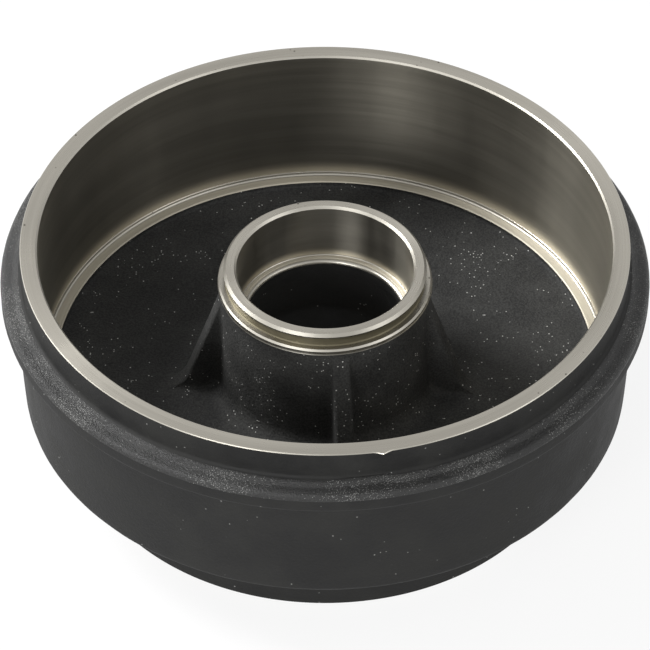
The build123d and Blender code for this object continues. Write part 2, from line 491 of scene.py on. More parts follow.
class GussetRibs:
    """The ribs, as a shape that the turned surface of the hub and web is raised to.

    Every rib takes the same number of columns of the turned mesh. Across a rib the columns
    run over its root, side and crest; between ribs they are spread evenly.
    """

    ROOT_STEPS = 4
    SIDE_STEPS = 2
    EDGE_STEPS = 3
    CREST_STEPS = 3
    HALF_STEPS = ROOT_STEPS + SIDE_STEPS + EDGE_STEPS + CREST_STEPS
    COLUMN_TURN = 0.95

    def __init__(self, sizes: RibSizes, drum: DrumSizes) -> None:
        """Work out the crest line and which column runs where.

        Args:
            sizes: The ribs' own sizes.
            drum: The turned form that they grow from.
        """
        self.sizes = sizes
        self.drum = drum
        self.half_width = sizes.thickness / 2 + sizes.root_round
        self._lay_out_crest()
        self._lay_out_columns()

    def _lay_out_crest(self) -> None:
        """Find the crest: a straight line that sweeps into the web on an arc."""
        sizes, drum = self.sizes, self.drum
        self.head = Vector((drum.core_top - sizes.cover, drum.collar_base - sizes.cover))
        self.knee = Vector((sizes.crest_radius, drum.web_hub_level + sizes.crest_rise))
        self.toe = Vector((sizes.reach, drum.web_level(sizes.reach) - sizes.cover))
        along = (self.knee - self.head).normalized()
        across = Vector((-along.y, along.x))
        chord = self.toe - self.knee
        self.arc_radius = chord.length_squared / (2 * chord.dot(across))
        self.arc_centre = self.knee + across * self.arc_radius

    def _lay_out_columns(self) -> None:
        """Give every column of the turned mesh its place: on a rib or in a gap."""
        foot_turn = math.degrees(math.asin(self.half_width / self.drum.core_base))
        self.columns: list[tuple[int, float, int]] = []
        angles = self.sizes.angles
        for index, angle in enumerate(angles):
            for place in range(-self.HALF_STEPS, self.HALF_STEPS):
                self.columns.append((index, 0.0, place))
            following = angles[(index + 1) % len(angles)]
            gap = (following - angle) % 360 - 2 * foot_turn
            steps = round(gap / self.COLUMN_TURN)
            for step in range(steps):
                self.columns.append((index, step / steps, self.HALF_STEPS))

    def crest_at_level(self, level: float) -> Vector:
        """Return the point of the crest's straight part at a level."""
        share = (self.head.y - level) / (self.head.y - self.knee.y)
        return self.head.lerp(self.knee, share)

    def crest_at_radius(self, radius: float) -> Vector:
        """Find a point of the crest's arc.

        Args:
            radius: Its distance from the wheel axis.

        Returns:
            The point, as radius and level.
        """
        run = radius - self.arc_centre.x
        rise = math.sqrt(max(self.arc_radius**2 - run**2, 0.0))
        return Vector((radius, self.arc_centre.y - rise))

    def crest_over(self, base: Vector, fan_share: float | None) -> Vector:
        """Find the point of the crest that stands over a point of the hub or web.

        Args:
            base: The point of the half section.
            fan_share: Its share of the way through the bend between core and web, or None.

        Returns:
            The point, as radius and level.
        """
        if fan_share is None:
            if base.x < self.sizes.fan_reach and base.y > self.sizes.fan_top:
                return self.crest_at_level(min(base.y, self.head.y))
            return self.crest_at_radius(min(base.x, self.toe.x))
        first = self.crest_at_level(self.sizes.fan_top)
        last = self.crest_at_radius(self.sizes.fan_reach)
        straight, curved = (self.knee - first).length, (last - self.knee).length
        walked = fan_share * (straight + curved)
        if walked <= straight:
            return first.lerp(self.knee, walked / straight)
        share = (walked - straight) / curved
        return self.crest_at_radius(self.knee.x + share * (last.x - self.knee.x))

    def across(self, place: int, height: float) -> tuple[float, float]:
        """Work out where a column runs on the rib's cross-section.

        Args:
            place: The column's place, from -HALF_STEPS to HALF_STEPS; 0 is the middle.
            height: The rib's height here.

        Returns:
            The offset from the rib's middle, and the rise above its base.
        """
        sizes = self.sizes
        half = sizes.thickness / 2
        full = sizes.root_round + sizes.edge_round
        top = max(height, full)
        step = self.HALF_STEPS - abs(place)
        if step <= self.ROOT_STEPS:
            turn = step / self.ROOT_STEPS * math.pi / 2
            offset = half + sizes.root_round * (1 - math.sin(turn))
            rise = sizes.root_round * (1 - math.cos(turn))
        elif step <= self.ROOT_STEPS + self.SIDE_STEPS:
            share = (step - self.ROOT_STEPS) / self.SIDE_STEPS
            offset = half
            rise = sizes.root_round + share * (top - full)
        elif step <= self.HALF_STEPS - self.CREST_STEPS:
            turn = (step - self.ROOT_STEPS - self.SIDE_STEPS) / self.EDGE_STEPS * math.pi / 2
            offset = half - sizes.edge_round * (1 - math.cos(turn))
            rise = top - sizes.edge_round * (1 - math.sin(turn))
        else:
            share = (self.HALF_STEPS - step) / self.CREST_STEPS
            offset = (half - sizes.edge_round) * share
            rise = top
        if height < full:
            rise *= max(height, 0.0) / full
        return math.copysign(offset, place), rise


# ---------------------------------------------------------------- casting


@dataclass(frozen=True)
class WheelSideCuts:
    """Bolt holes and cast pockets of the wheel-mounting face."""

    circle: float = mount_size("wheel_bolts", "pcd_mm") / 2
    count: int = int(mount_size("wheel_bolts", "count"))
    hole: float = mount_size("wheel_bolts", "hole_r_mm")
    first_angle: float = 8.0
    hole_depth: float = 30.0
    entry: float = 1.2
    thread_pitch: float = 1.5
    thread_depth: float = 0.75
    pocket_shift: float = 3.0
    pocket_width: float = 31.0
    pocket_angle: float = 21.0
    pocket_depth: float = 23.0
    pocket_chamfer: float = 3.0
    overrun: float = 2.0
    plain_turns: int = 3
    hole_steps: int = 40
    pocket_steps: int = 12
    pocket_end_steps: int = 16


@dataclass(frozen=True)
class Flaws:
    """Small accidents of casting and turning that the surface keeps."""

    burr_angle: float = 280.4
    burr_span: float = 1.8
    burr_height: float = 2.0
    shift_angle: float = 281.6
    shift_span: float = 11.0
    shift_height: float = 1.9
    margin: float = 1.0
    neck_clear: float = 0.5

    def burr(self, angle: float) -> float:
        """Return how far the burr stands out of the rim's outer edge at an angle."""
        run = abs(angle - self.burr_angle)
        return self.burr_height * max(0.0, 1 - run / self.burr_span) ** 1.5

    def mould_shift(self, angle: float) -> float:
        """Return how far one half of the mould set the band's ridge back at an angle."""
        run = (self.shift_angle - angle) / self.shift_span
        return -self.shift_height * (1 - run) if 0.0 <= run <= 1.0 else 0.0


@dataclass
class Casting:
    """The drum casting as one closed mesh."""

    drum: DrumSizes = field(default_factory=DrumSizes)
    rib_sizes: RibSizes = field(default_factory=RibSizes)
    cuts: WheelSideCuts = field(default_factory=WheelSideCuts)
    flaws: Flaws = field(default_factory=Flaws)
    swell: float = 0.10
    swell_length: float = 14.0
    swell_fall: float = 0.8
    swell_step: float = 2.0
    swell_octaves: int = 3
    swell_middle: float = 0.6
    sharp_angle: float = 28.0
    ribs: GussetRibs = field(init=False)
    section: HalfSection = field(init=False)

    def __post_init__(self) -> None:
        """Lay out the ribs and the half section."""
        self.ribs = GussetRibs(self.rib_sizes, self.drum)
        self.section = HalfSection(self.drum.corners())

    def build(self, materials: list[bpy.types.Material]) -> bpy.types.Object:
        """Turn, raise, roughen and cut the casting.

        Args:
            materials: One material for each finish, in the order of the finishes.

        Returns:
            The finished object, at the origin.
        """
        blank = new_object("drum_casting", self._turned())
        cutter = new_object("wheel_side_cutter", self._cutters())
        for material in materials:
            blank.data.materials.append(material)
            cutter.data.materials.append(material)
        cut = cut_away(blank, cutter)
        mark_sharp_edges(cut.data, self.sharp_angle)
        LOG.info("%s: %d faces", cut.name, len(cut.data.polygons))
        return cut

    def _turned(self) -> bmesh.types.BMesh:
        """Spin the half section and move its columns over the ribs.

        Returns:
            The turned mesh, in metres.
        """
        bm = bmesh.new()
        row_layer = bm.verts.layers.int.new("row")
        stations = self.section.stations
        verts = [bm.verts.new((s.radius * MM, 0.0, s.height * MM)) for s in stations]
        for row, vert in enumerate(verts):
            vert[row_layer] = row
        count = len(verts)
        edges = [bm.edges.new((verts[row], verts[(row + 1) % count])) for row in range(count)]
        spin_about_z(bm, verts + edges, Vector(), math.tau, len(self.ribs.columns))
        self._assign_finishes(bm, row_layer)
        self._place_columns(bm, row_layer)
        bmesh.ops.recalc_face_normals(bm, faces=bm.faces)
        bm.normal_update()
        self._swell_cast_skin(bm)
        return bm

    def _assign_finishes(self, bm: bmesh.types.BMesh, row_layer: bmesh.types.BMLayerItem) -> None:
        """Give every face the finish of its step of the half section.

        Args:
            bm: The turned mesh.
            row_layer: The layer that holds each vertex's row.
        """
        stations = self.section.stations
        last = len(stations) - 1
        for face in bm.faces:
            rows = {vert[row_layer] for vert in face.verts}
            row = last if rows == {0, last} else min(rows)
            face.material_index = stations[row].finish

    def _place_columns(self, bm: bmesh.types.BMesh, row_layer: bmesh.types.BMLayerItem) -> None:
        """Move every vertex to its column's place on the drum, or on a rib.

        Args:
            bm: The turned mesh.
            row_layer: The layer that holds each vertex's row.
        """
        stations, columns = self.section.stations, self.ribs.columns
        turn = math.tau / len(columns)
        rows = [self._row_plan(row) for row in range(len(stations))]
        for vert in bm.verts:
            column = round(math.atan2(vert.co.y, vert.co.x) / turn) % len(columns)
            vert.co = self._place(rows[vert[row_layer]], column) * MM

    def _row_plan(self, row: int) -> tuple[Vector, Vector | None, float]:
        """Plan a row of the turned mesh.

        Args:
            row: The row's number.

        Returns:
            Its base point, the crest point over it or None, and its share of the rib layout.
        """
        station = self.section.stations[row]
        base = Vector((station.radius, station.height))
        start, end = self._rib_rows
        crest = None
        if start <= row <= end:
            crest = self.ribs.crest_over(base, self._fan_share(row))
        return base, crest, self._layout_share(row)

    @property
    def _rib_rows(self) -> tuple[int, int]:
        """Rows that a rib reaches, from its toe on the web to the collar.

        Returns:
            The first and the last of them.
        """
        rows = [
            row
            for row, station in enumerate(self.section.stations)
            if station.radius >= self.drum.core_top - NEAR
            and station.radius <= self.rib_sizes.reach
            and self.drum.web_hub_level <= station.height <= self.drum.collar_base
        ]
        return rows[0], rows[-1]

    def _fan_share(self, row: int) -> float | None:
        """Find how far a row lies through the bend from core to web.

        Args:
            row: The row's number.

        Returns:
            The share of the way, or None outside the bend.
        """
        stations = self.section.stations
        first, last = self._rib_rows
        inside = [
            index
            for index in range(first, last + 1)
            if stations[index].radius <= self.rib_sizes.fan_reach
            and stations[index].height <= self.rib_sizes.fan_top
        ]
        if row not in inside:
            return None
        lengths = [0.0]
        for index in inside[1:]:
            here, back = stations[index], stations[index - 1]
            step = math.hypot(here.radius - back.radius, here.height - back.height)
            lengths.append(lengths[-1] + step)
        return 1.0 - lengths[inside.index(row)] / lengths[-1]

    def _layout_share(self, row: int) -> float:
        """Find how closely the columns of a row follow the ribs.

        Args:
            row: The row's number.

        Returns:
            1 where they follow the ribs, 0 where they are evenly spread.
        """
        station = self.section.stations[row]
        first, last = self._rib_rows
        if row >= first:
            spread = (self.drum.boss_radius, self.drum.pilot_bore)
            if station.height > self.drum.recess_level or station.radius < spread[0]:
                return 1.0 if station.radius < self.drum.core_base + 1 else 0.0
            share = (station.radius - spread[0]) / (spread[1] - spread[0])
        else:
            edge = self.drum.web_edge[0]
            share = (station.radius - self.rib_sizes.reach) / (edge - self.rib_sizes.reach)
        share = min(max(share, 0.0), 1.0)
        return 1.0 - share * share * (3 - 2 * share)

    def _place(self, plan: tuple[Vector, Vector | None, float], column: int) -> Vector:
        """Place a vertex of the turned mesh.

        Args:
            plan: The row's base point, crest point and share of rib layout.
            column: The column's number.

        Returns:
            The vertex's place, in millimetres.
        """
        base, crest, share = plan
        rib, gap_share, place = self.ribs.columns[column]
        angles = self.rib_sizes.angles
        middle = angles[rib]
        radius = base.x
        reach = max(radius, self.drum.core_top)
        if crest is not None and place < self.ribs.HALF_STEPS:
            lean = crest - base
            height = lean.length if self._stands_proud(base, crest) else 0.0
            offset, rise = self.ribs.across(place, height)
            point = Vector((math.sqrt(radius**2 - offset**2), offset, base.y))
            if height > 0.0:
                lean.normalize()
                point += Vector((lean.x * rise, 0.0, lean.y * rise))
            return Matrix.Rotation(math.radians(middle), 3, "Z") @ point
        if place < self.ribs.HALF_STEPS:
            offset, _ = self.ribs.across(place, 0.0)
            ribbed = middle + math.degrees(math.asin(offset / reach))
        else:
            following = angles[(rib + 1) % len(angles)]
            edge = math.degrees(math.asin(self.ribs.half_width / reach))
            gap = (following - middle) % 360 - 2 * edge
            ribbed = middle + edge + gap * gap_share
        even = angles[0] + (column - self.ribs.HALF_STEPS) * 360 / len(self.ribs.columns)
        shift = (ribbed - even + 180) % 360 - 180
        degrees = even + shift * share
        angle = math.radians(degrees)
        radius += self._flaw(base, degrees)
        return Vector((radius * math.cos(angle), radius * math.sin(angle), base.y))

    def _flaw(self, base: Vector, degrees: float) -> float:
        """Find how far a flaw moves a vertex outwards.

        Args:
            base: The vertex's place in the half section.
            degrees: Its angle about the wheel axis.

        Returns:
            The distance, in millimetres.
        """
        drum = self.drum
        stand = base.x - drum.track_radius - drum.rim_wall
        drop = drum.mouth - base.y
        flaws, margin = self.flaws, self.flaws.margin
        if stand > -margin and drop < margin:
            return flaws.burr(degrees % 360)
        on_ledge = flaws.neck_clear < stand < drum.ledge_stand + margin
        if on_ledge and drop < drum.ledge_drop + margin:
            return flaws.mould_shift(degrees % 360)
        return 0.0

    def _stands_proud(self, base: Vector, crest: Vector) -> bool:
        """Tell whether the crest lies outside the hub and above the web.

        Args:
            base: The point of the half section under the crest.
            crest: The point of the crest.

        Returns:
            Whether the rib shows there.
        """
        if base.y > self.rib_sizes.fan_top:
            return crest.x > self.drum.core_radius(crest.y)
        return crest.y > self.drum.web_level(crest.x)

    def _swell_cast_skin(self, bm: bmesh.types.BMesh) -> None:
        """Give the cast skin the slight unevenness of a sand mould.

        Args:
            bm: The turned mesh.
        """
        cast = {Finish.OUTER_CAST, Finish.INNER_CAST, Finish.BAND_CAST}
        for vert in bm.verts:
            if not all(face.material_index in cast for face in vert.link_faces):
                continue
            point = vert.co / (self.swell_length * MM)
            rise = noise.fractal(point, self.swell_fall, self.swell_step, self.swell_octaves)
            lift = rise - self.swell_middle
            vert.co += vert.normal * self.swell * MM * lift

    def _cutters(self) -> bmesh.types.BMesh:
        """Build the shapes that are cut out of the wheel side.

        Returns:
            Their closed shells, in one mesh.
        """
        bm = bmesh.new()
        step = math.tau / self.cuts.count
        first = math.radians(self.cuts.first_angle)
        for index in range(self.cuts.count):
            self._add_hole(bm, first + step * index)
            self._add_pocket(bm, first + step * (index + 0.5))
        bmesh.ops.remove_doubles(bm, verts=bm.verts, dist=WELD)
        bmesh.ops.recalc_face_normals(bm, faces=bm.faces)
        return bm

    def _add_hole(self, bm: bmesh.types.BMesh, angle: float) -> None:
        """Add one tapped bolt hole: entry chamfer, thread and flat bottom.

        Args:
            bm: The mesh of the cutters.
            angle: The hole's angle about the wheel axis, in radians.
        """
        cuts = self.cuts
        outline = [(0.0, -cuts.overrun), (cuts.hole + cuts.entry + cuts.overrun, -cuts.overrun)]
        turns = int((cuts.hole_depth - cuts.plain_turns * cuts.thread_pitch) / cuts.thread_pitch)
        level = cuts.entry
        outline.append((cuts.hole, level))
        for _ in range(turns):
            outline.append((cuts.hole + cuts.thread_depth, level + cuts.thread_pitch / 2))
            level += cuts.thread_pitch
            outline.append((cuts.hole, level))
        outline += [(cuts.hole, cuts.hole_depth), (0.0, cuts.hole_depth)]
        centre = Matrix.Rotation(angle, 3, "Z") @ Vector((cuts.circle * MM, 0.0, 0.0))
        verts = [bm.verts.new(centre + Vector((r * MM, 0.0, z * MM))) for r, z in outline]
        edges = [bm.edges.new(pair) for pair in zip(verts, verts[1:])]
        before = len(bm.faces)
        spin_about_z(bm, verts + edges, centre, math.tau, cuts.hole_steps)
        bm.faces.ensure_lookup_table()
        for face in bm.faces[before:]:
            face.material_index = Finish.TURNED

    def _add_pocket(self, bm: bmesh.types.BMesh, angle: float) -> None:
        """Add one kidney-shaped cast pocket.

        Args:
            bm: The mesh of the cutters.
            angle: The angle of its middle about the wheel axis, in radians.
        """
        cuts = self.cuts
        half, depth, slope = cuts.pocket_width / 2, cuts.pocket_depth, cuts.pocket_chamfer
        wall = [(half, -cuts.overrun), (half, depth - slope), (half - slope, depth)]
        side = [(0.0, -cuts.overrun), *wall, (0.0, depth)]
        ring = wall + [(-r, z) for r, z in reversed(wall)]
        line = cuts.circle + cuts.pocket_shift
        spread = math.radians(cuts.pocket_angle)
        start = Matrix.Rotation(angle - spread / 2, 3, "Z")
        verts = [bm.verts.new(start @ Vector(((line + r) * MM, 0.0, z * MM))) for r, z in ring]
        edges = [bm.edges.new(pair) for pair in zip(verts, verts[1:] + verts[:1])]
        spin_about_z(bm, verts + edges, Vector(), spread, cuts.pocket_steps)
        for turn, sense in ((angle - spread / 2, -1.0), (angle + spread / 2, 1.0)):
            end = Matrix.Rotation(turn, 3, "Z")
            centre = end @ Vector((line * MM, 0.0, 0.0))
            verts = [bm.verts.new(end @ Vector(((line + r) * MM, 0.0, z * MM))) for r, z in side]
            edges = [bm.edges.new(pair) for pair in zip(verts, verts[1:])]
            spin_about_z(bm, verts + edges, centre, math.pi * sense, cuts.pocket_end_steps)


def spin_about_z(
    bm: bmesh.types.BMesh, outline: list, centre: Vector, angle: float, steps: int
) -> None:
    """Turn an outline about an upright axis, and close it where it comes full circle.

    Args:
        bm: The mesh that holds the outline.
        outline: The outline's vertices and edges.
        centre: A point of the axis.
        angle: How far to turn, in radians.
        steps: Number of steps.
    """
    bmesh.ops.spin(
        bm,
        geom=outline,
        cent=centre,
        axis=(0.0, 0.0, 1.0),
        dvec=(0.0, 0.0, 0.0),
        angle=angle,
        steps=steps,
        use_merge=angle == math.tau,
    )


def new_object(name: str, bm: bmesh.types.BMesh) -> bpy.types.Object:
    """Make a scene object of a bmesh, and free the bmesh.

    Args:
        name: Name of the object and its mesh.
        bm: The finished bmesh.

    Returns:
        The object, linked to the scene.
    """
    mesh = bpy.data.meshes.new(name)
    bm.to_mesh(mesh)
    bm.free()
    made = bpy.data.objects.new(name, mesh)
    bpy.context.scene.collection.objects.link(made)
    return made


def cut_away(blank: bpy.types.Object, cutter: bpy.types.Object) -> bpy.types.Object:
    """Cut one closed mesh out of another and remove both.

    Args:
        blank: The object that is cut; its name goes to the result.
        cutter: The closed shapes that are cut out.

    Returns:
        The cut object, with no modifier left on it.
    """
    modifier = blank.modifiers.new("cut", "BOOLEAN")
    modifier.operation = "DIFFERENCE"
    modifier.solver = "EXACT"
    modifier.object = cutter
    graph = bpy.context.evaluated_depsgraph_get()
    mesh = bpy.data.meshes.new_from_object(blank.evaluated_get(graph))
    name = blank.name
    for used in (blank, cutter):
        bpy.data.objects.remove(used, do_unlink=True)
    mesh.name = name
    made = bpy.data.objects.new(name, mesh)
    bpy.context.scene.collection.objects.link(made)
    return made


def mark_sharp_edges(mesh: bpy.types.Mesh, angle: float) -> None:
    """Shade a mesh smooth, except across edges that turn by more than an angle.

    Args:
        mesh: The mesh.
        angle: The limit, in degrees.
    """
    bm = bmesh.new()
    bm.from_mesh(mesh)
    limit = math.radians(angle)
    for face in bm.faces:
        face.smooth = True
    for edge in bm.edges:
        edge.smooth = len(edge.link_faces) == 2 and edge.calc_face_angle() < limit
    bm.to_mesh(mesh)
    bm.free()


# ---------------------------------------------------------------- finishes


class NodeSketch:
    """Adds nodes to one node tree and joins them as it goes."""

    def __init__(self, tree: bpy.types.NodeTree) -> None:
        """Keep the tree of a material, a world or a node group, and start it empty."""
        self.tree = tree
        tree.nodes.clear()

    def add(self, kind: str, inputs: dict | None = None, **settings: object) -> bpy.types.Node:
        """Add a node.

        Args:
            kind: Blender's name of the node type, without its ShaderNode prefix.
            inputs: Values or output sockets for its inputs, by name or number.
            **settings: Values of the node's own settings.

        Returns:
            The node.
        """
        prefix = "" if kind.startswith("NodeGroup") else "ShaderNode"
        node = self.tree.nodes.new(prefix + kind)
        for key, value in settings.items():
            setattr(node, key, value)
        self._feed(node, inputs or {})
        return node

    def _feed(self, node: bpy.types.Node, inputs: dict) -> None:
        """Link or set the inputs of a node.

        Args:
            node: The node.
            inputs: Values or output sockets for its inputs, by name or number.
        """
        for key, value in inputs.items():
            if isinstance(value, bpy.types.NodeSocket):
                self.tree.links.new(value, node.inputs[key])
            else:
                node.inputs[key].default_value = value

    def math(
        self, operation: str, first: object, second: object = 0.0, third: object = 0.0
    ) -> bpy.types.NodeSocket:
        """Add a Math node and return its result."""
        inputs = {0: first, 1: second, 2: third}
        return self.add("Math", inputs, operation=operation).outputs[0]

    def group(self, tree: bpy.types.NodeTree, inputs: dict) -> bpy.types.Node:
        """Add a shared node group.

        Args:
            tree: The group.
            inputs: Values or output sockets for its inputs, by name.

        Returns:
            The node that holds the group.
        """
        node = self.tree.nodes.new("ShaderNodeGroup")
        node.node_tree = tree
        self._feed(node, inputs)
        return node

    def mean(self, first: object, second: object) -> bpy.types.NodeSocket:
        """Return the mean of two values."""
        return self.math("MULTIPLY_ADD", first, 0.5, self.math("MULTIPLY", second, 0.5))

    def point(self, x: object, y: object, z: object) -> bpy.types.NodeSocket:
        """Return the vector of three values."""
        return self.add("CombineXYZ", {0: x, 1: y, 2: z}).outputs[0]

    def cloud(
        self, place: object, scale: object, detail: float, roughness: float = 0.5
    ) -> bpy.types.NodeSocket:
        """Return fractal noise at a place."""
        inputs = {"Vector": place, "Scale": scale, "Detail": detail, "Roughness": roughness}
        return self.add("TexNoise", inputs).outputs["Fac"]

    def scatter(
        self, place: object, scale: object, share: object, edge: tuple[float, float]
    ) -> bpy.types.NodeSocket:
        """Scatter small spots over the surface.

        Args:
            place: Where on the surface.
            scale: Number of places for a spot in a metre.
            share: Share of those places that hold one.
            edge: Closeness to a spot's middle at which it starts to show and is full.

        Returns:
            The spots, from 0 to 1.
        """
        cells = self.add("TexVoronoi", {"Vector": place, "Scale": scale})
        chance = self.add("SeparateColor", {"Color": cells.outputs["Color"]}).outputs["Red"]
        rare = self.math("GREATER_THAN", chance, self.math("SUBTRACT", 1.0, share))
        spot = self.mask(self.math("SUBTRACT", 1.0, cells.outputs["Distance"]), *edge)
        return self.math("MULTIPLY", rare, spot)

    def span(self, value: object, low: float, high: float) -> bpy.types.NodeSocket:
        """Return a value of 0 to 1 spread over a range."""
        node = self.add("MapRange", {"Value": value, "To Min": low, "To Max": high})
        return node.outputs["Result"]

    def mask(self, value: object, low: float, high: float) -> bpy.types.NodeSocket:
        """Add a smooth step from 0 to 1.

        Args:
            value: The value that is stepped.
            low: Where the step starts.
            high: Where the step ends.

        Returns:
            The result of the step.
        """
        node = self.add(
            "MapRange",
            {"Value": value, "From Min": low, "From Max": high},
            interpolation_type="SMOOTHSTEP",
        )
        return node.outputs["Result"]

    def blend(self, factor: object, first: object, second: object) -> bpy.types.NodeSocket:
        """Mix two colours.

        Args:
            factor: Share of the second colour.
            first: The first colour, or the socket that gives it.
            second: The second colour, or the socket that gives it.

        Returns:
            The mixed colour.
        """
        node = self.add("Mix", {"Factor": factor}, data_type="RGBA")
        for name, value in (("A", first), ("B", second)):
            socket = next(s for s in node.inputs if s.name == name and s.type == "RGBA")
            if isinstance(value, bpy.types.NodeSocket):
                self.tree.links.new(value, socket)
            else:
                socket.default_value = (*value, 1.0)
        return next(s for s in node.outputs if s.type == "RGBA")


def start_group(name: str, inputs: dict[str, str], outputs: list[str]) -> tuple[NodeSketch, dict]:
    """Start a shader node group with named sockets.

    Args:
        name: The group's name.
        inputs: Socket type of each input, by name.
        outputs: Names of the float outputs.

    Returns:
        The sketch of its tree, and the output sockets of its input node by name.
    """
    tree = bpy.data.node_groups.new(name, "ShaderNodeTree")
    for socket, kind in inputs.items():
        tree.interface.new_socket(socket, in_out="INPUT", socket_type=kind)
    for socket in outputs:
        tree.interface.new_socket(socket, in_out="OUTPUT", socket_type="NodeSocketFloat")
    sketch = NodeSketch(tree)
    return sketch, dict(sketch.add("NodeGroupInput").outputs.items())


@dataclass(frozen=True)
class SandSkin:
    """Node group for a skin that sand has left: grain, spots of painted glint, and slow tone.

    Attributes:
        grain_weight: Weight of the fine grain beside the rounded lumps.
        lump_scale: Count of the lumps, as a share of that of the grains.
        glint_spot_scale: Count of the spots of painted glint, as a share of that of the grains.
        gathering: Slow tone at which the painted glints start to gather, and where they are
            thickest.
        stray: Share of the painted glints that shows away from there.
        glint_spot_edge: Closeness to a glint spot's middle at which it starts to show and is
            full.
        speckle: Range of the grain that the fine tone is taken from.
        tone: Range of the slow noise that the slow tone is taken from.
    """

    grain_weight: float = 1.6
    lump_scale: float = 0.6
    glint_spot_scale: float = 1.2
    gathering: tuple[float, float] = (0.44, 0.68)
    stray: float = 0.04
    glint_spot_edge: tuple[float, float] = (0.5, 0.7)
    speckle: tuple[float, float] = (0.35, 0.65)
    tone: tuple[float, float] = (0.3, 0.7)

    def make(self) -> bpy.types.NodeTree:
        """Build the group.

        Returns:
            The node group.
        """
        sketch, given = start_group(
            "sand_skin",
            {
                "Place": "NodeSocketVector",
                "Grain": "NodeSocketFloat",
                "Patch": "NodeSocketFloat",
                "Crowd": "NodeSocketFloat",
            },
            ["Height", "Glint", "Tone", "Speckle"],
        )
        place = given["Place"]
        fine = sketch.math("DIVIDE", 1.0, given["Grain"])
        coarse = sketch.math("DIVIDE", 1.0, given["Patch"])
        grain = sketch.cloud(place, fine, detail=3.0, roughness=0.55)
        lump_scale = sketch.math("MULTIPLY", fine, self.lump_scale)
        lumps = sketch.add(
            "TexVoronoi",
            {"Vector": place, "Scale": lump_scale, "Randomness": 1.0},
            feature="SMOOTH_F1",
        )
        rounded = sketch.math("SUBTRACT", 1.0, lumps.outputs["Distance"])
        height = sketch.math("MULTIPLY_ADD", grain, self.grain_weight, rounded)
        slow = sketch.cloud(place, coarse, detail=4.0, roughness=0.6)
        gathered = sketch.mask(slow, *self.gathering)
        share = sketch.math("MULTIPLY", given["Crowd"], sketch.span(gathered, self.stray, 1.0))
        # Spots where glints are painted, gathered in patches of the slow tone.
        glint_spot_scale = sketch.math("MULTIPLY", fine, self.glint_spot_scale)
        painted_glint = sketch.scatter(place, glint_spot_scale, share, self.glint_spot_edge)
        sketch.add(
            "NodeGroupOutput",
            {
                "Height": height,
                "Glint": painted_glint,
                "Speckle": sketch.mask(grain, *self.speckle),
                "Tone": sketch.mask(slow, *self.tone),
            },
        )
        return sketch.tree


@dataclass(frozen=True)
class TurningMarks:
    """Node group for lathe marks: fine rings round Z, tool chatter, slow sweeps and pores.

    Attributes:
        ring_drift: How far the fine rings change round the drum.
        band_count: Number of bands of chatter in a metre.
        sweep_drift: How far the sweeps change round the drum.
        sweep_count: Number of sweeps in a metre.
        contrast: Range of the noise that the bands and sweeps are taken from.
        pore_count: Number of places for a pore in a metre.
        pore_share: Share of those places that hold one.
        pore_edge: Closeness to a pore's middle at which it starts to show and is full.
    """

    ring_drift: float = 2.5
    band_count: float = 140.0
    sweep_drift: float = 4.0
    sweep_count: float = 6.0
    contrast: tuple[float, float] = (0.3, 0.7)
    pore_count: float = 420.0
    pore_share: float = 0.018
    pore_edge: tuple[float, float] = (0.70, 0.85)

    def make(self) -> bpy.types.NodeTree:
        """Build the group.

        Returns:
            The node group.
        """
        sketch, given = start_group(
            "turning_marks",
            {"Place": "NodeSocketVector", "Pitch": "NodeSocketFloat"},
            ["Rings", "Bands", "Sweep", "Pits"],
        )
        x, y, z = sketch.add("SeparateXYZ", {0: given["Place"]}).outputs
        square = sketch.math("ADD", sketch.math("MULTIPLY", x, x), sketch.math("MULTIPLY", y, y))
        radius = sketch.math("SQRT", square)
        along = sketch.math("ADD", radius, z)
        cosine, sine = sketch.math("DIVIDE", x, radius), sketch.math("DIVIDE", y, radius)
        fine = sketch.point(
            sketch.math("DIVIDE", along, given["Pitch"]),
            sketch.math("MULTIPLY", cosine, self.ring_drift),
            sketch.math("MULTIPLY", sine, self.ring_drift),
        )
        broad = sketch.point(sketch.math("MULTIPLY", along, self.band_count), cosine, sine)
        around = sketch.point(
            sketch.math("MULTIPLY", cosine, self.sweep_drift),
            sketch.math("MULTIPLY", sine, self.sweep_drift),
            sketch.math("MULTIPLY", along, self.sweep_count),
        )
        bands = sketch.cloud(broad, 1.0, detail=3.0)
        sweep = sketch.cloud(around, 1.0, detail=4.0)
        pores = sketch.scatter(given["Place"], self.pore_count, self.pore_share, self.pore_edge)
        sketch.add(
            "NodeGroupOutput",
            {
                "Rings": sketch.cloud(fine, 1.0, detail=2.0),
                "Bands": sketch.mask(bands, *self.contrast),
                "Sweep": sketch.mask(sweep, *self.contrast),
                "Pits": pores,
            },
        )
        return sketch.tree


